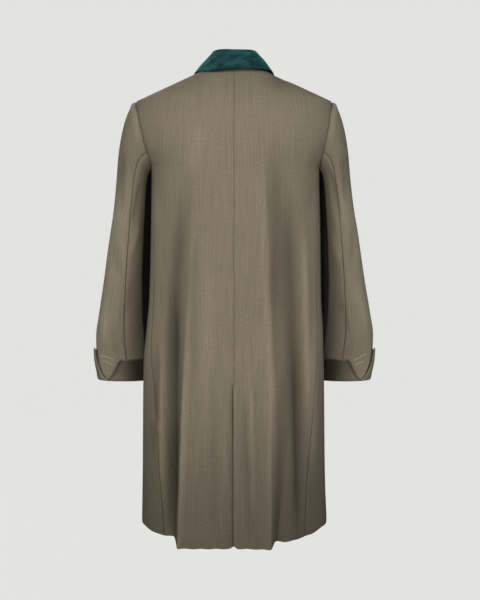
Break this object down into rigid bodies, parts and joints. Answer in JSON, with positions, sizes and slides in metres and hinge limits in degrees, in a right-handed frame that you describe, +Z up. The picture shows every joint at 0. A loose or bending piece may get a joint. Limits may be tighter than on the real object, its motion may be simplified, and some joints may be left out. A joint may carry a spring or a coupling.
{
  "type": "wool coat",
  "caption": "Knee-length single-breasted wool coat in worn form, with a velvet collar, turned-back notched cuffs and a centre-back vent.",
  "frame": {"origin": "base of the neck between the shoulders, where the wearer carries the coat", "axes": "+Z up, -Y towards the front of the coat, +X towards the wearer's left"},
  "size_m": [0.6653, 0.3859, 1.0794],
  "materials": {
    "wool": "matt olive-taupe wool with a fine upright grain",
    "velvet": "dark teal cotton velvet, short upright pile",
    "under_collar_wool": "dark felted wool",
    "button": "dark horn with a dished face"
  },
  "bodies": {
    "root": {"back_left": "wool", "back_right": "wool", "front_left": "wool", "front_right": "wool", "lapel_left": "wool", "lapel_right": "wool", "top_sleeve_left": "wool", "top_sleeve_right": "wool", "under_sleeve_left": "wool", "under_sleeve_right": "wool", "cuff_left": "wool", "cuff_right": "wool", "top_collar": "velvet", "under_collar": "under_collar_wool", "button_top": "button", "button_middle": "button", "button_bottom": "button"}
  },
  "joints": []
}
